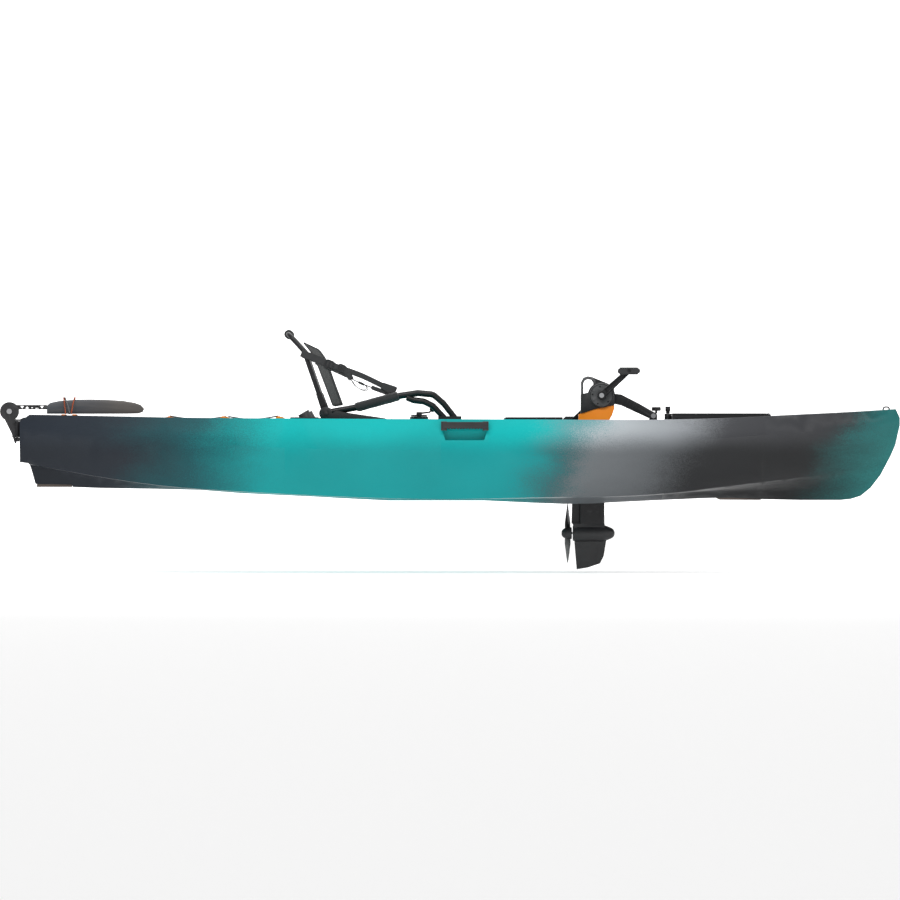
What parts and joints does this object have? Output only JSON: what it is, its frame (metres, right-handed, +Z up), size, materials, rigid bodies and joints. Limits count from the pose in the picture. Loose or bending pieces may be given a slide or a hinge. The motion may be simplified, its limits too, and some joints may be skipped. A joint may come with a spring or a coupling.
{
  "type": "pedal kayak",
  "caption": "Sit-on-top fishing kayak with a tilting pedal drive, a flip-up stern rudder steered by a side lever, and a folding mesh seat",
  "frame": {"origin": "on the flat of the keel, on the centre plane, amidships", "axes": "+X to the bow, +Y to port, +Z up"},
  "size_m": [3.7449, 0.924, 0.996],
  "materials": {
    "hull_plastic": "moulded polyethylene, teal fading to grey and black",
    "black_plastic": "moulded black plastic",
    "grey_plastic": "moulded dark grey plastic",
    "orange_plastic": "moulded orange plastic",
    "skid_plastic": "replaceable wear strip",
    "blade_plastic": "moulded warm grey plastic",
    "black_metal": "powder coated aluminium",
    "seat_tube": "powder coated aluminium tube",
    "steel": "stainless steel",
    "rubber": "soft black rubber",
    "pad_foam": "textured deck foam",
    "grip_foam": "foam grip",
    "mesh_fabric": "open polyester mesh",
    "sleeve_fabric": "padded sleeve fabric",
    "webbing": "woven webbing and cord"
  },
  "bodies": {
    "hull_body": {"hull": "hull_plastic", "hatch_coaming": "black_plastic", "hatch_gasket": "rubber", "skid_plates": "skid_plastic", "side_handles": "black_plastic", "bow_carry_loop": "webbing", "accessory_tracks": "black_metal", "rod_holders": "black_plastic", "foot_pads": "pad_foam", "deck_hooks": "orange_plastic", "tank_bungee": "webbing", "deck_fasteners": "steel", "rudder_bracket": "black_plastic", "steering_pin": "steel", "steering_lines": "webbing", "rudder_tiedown": "webbing", "steering_base": "black_plastic", "tilt_bracket": "black_plastic", "tilt_pin": "steel"},
    "hatch": {"hatch_lid": "black_plastic"},
    "latch": {"hatch_latch": "black_plastic"},
    "rudder_mount": {"rudder_head": "black_plastic", "rudder_axle": "steel"},
    "rudder": {"rudder_arm": "black_plastic", "rudder_blade": "blade_plastic"},
    "lever": {"steering_lever": "black_plastic", "steering_knob": "black_plastic"},
    "drive": {"drive_casing_right": "black_plastic", "drive_casing_left": "black_plastic", "crank_bearings": "steel", "bearing_covers": "grey_plastic", "drive_cowl": "orange_plastic", "drive_leg": "black_metal", "gearcase": "black_plastic", "tilt_arm": "black_plastic", "drive_handle": "grey_plastic"},
    "lock": {"lock_knob": "black_plastic"},
    "crank": {"crank_shaft": "steel", "crank_gear": "steel", "crank_arm_right": "black_metal", "crank_arm_left": "black_metal"},
    "pedal_r": {"pedal_right": "black_plastic"},
    "pedal_l": {"pedal_left": "black_plastic"},
    "upright_shaft": {"drive_shaft": "steel"},
    "screw": {"prop_shaft": "steel", "propeller": "black_plastic"},
    "seat": {"seat_side_right": "seat_tube", "seat_side_left": "seat_tube", "seat_cross_tubes": "seat_tube", "seat_hinges": "black_plastic", "seat_feet": "rubber", "seat_pan": "mesh_fabric", "seat_sleeves": "sleeve_fabric", "recline_straps": "webbing"},
    "seat_back": {"back_frame": "seat_tube", "back_grip": "grip_foam", "back_brackets": "black_metal", "back_panel": "mesh_fabric", "back_wings": "mesh_fabric"}
  },
  "joints": [
    {"name": "hatch_open", "type": "hinge", "parent": "hull_body", "child": "hatch", "pos_m": [1.28, 0, 0.3582], "axis": [0, 1, 0], "range_deg": [0, 110]},
    {"name": "latch_turn", "type": "hinge", "parent": "hull_body", "child": "latch", "pos_m": [0.864, 0, 0.378], "axis": [0, 0, -1], "range_deg": [0, 90]},
    {"name": "rudder_steer", "type": "hinge", "parent": "hull_body", "child": "rudder_mount", "pos_m": [-1.845, 0, 0.3], "axis": [0, 0, 1], "range_deg": [-35, 35], "deforming": ["steering_lines"]},
    {"name": "rudder_flip", "type": "hinge", "parent": "rudder_mount", "child": "rudder", "pos_m": [-1.8769, 0, 0.3706], "axis": [0, -1, 0], "range_deg": [0, 250], "deforming": ["rudder_tiedown"]},
    {"name": "lever_turn", "type": "hinge", "parent": "hull_body", "child": "lever", "pos_m": [-0.173, 0.332, 0.36], "axis": [0, 0, 1], "range_deg": [-35, 35]},
    {"name": "drive_tilt", "type": "hinge", "parent": "hull_body", "child": "drive", "pos_m": [0.8027, 0, 0.3519], "axis": [0, 1, 0], "range_deg": [0, 80]},
    {"name": "lock_turn", "type": "hinge", "parent": "hull_body", "child": "lock", "pos_m": [0.8157, 0, 0.38], "axis": [0, 0, 1], "range_deg": [-90, 90]},
    {"name": "crank_spin", "type": "hinge", "parent": "drive", "child": "crank", "pos_m": [0.5869, 0, 0.4368], "axis": [0, 1, 0], "continuous": true},
    {"name": "pedal_right_spin", "type": "hinge", "parent": "crank", "child": "pedal_r", "pos_m": [0.69802, -0.139, 0.53756], "axis": [0, 1, 0], "continuous": true},
    {"name": "pedal_left_spin", "type": "hinge", "parent": "crank", "child": "pedal_l", "pos_m": [0.47578, 0.139, 0.33604], "axis": [0, 1, 0], "continuous": true},
    {"name": "drive_shaft_spin", "type": "hinge", "parent": "drive", "child": "upright_shaft", "pos_m": [0.5869, 0, 0.1], "axis": [0, 0, 1], "continuous": true},
    {"name": "prop_spin", "type": "hinge", "parent": "drive", "child": "screw", "pos_m": [0.4466, 0, -0.1362], "axis": [1, 0, 0], "continuous": true},
    {"name": "seat_slide", "type": "slide", "parent": "hull_body", "child": "seat", "axis": [1, 0, 0], "range_m": [-0.05, 0.015]},
    {"name": "seat_fold", "type": "hinge", "parent": "seat", "child": "seat_back", "pos_m": [-0.557, 0, 0.3615], "axis": [0, 1, 0], "range_deg": [0, 75], "deforming": ["recline_straps", "back_wings"]}
  ],
  "couplings": [
    {"joint": "lever_turn", "follows": "rudder_steer", "ratio": 1},
    {"joint": "drive_shaft_spin", "follows": "crank_spin", "ratio": 3.3333},
    {"joint": "prop_spin", "follows": "crank_spin", "ratio": 10}
  ]
}
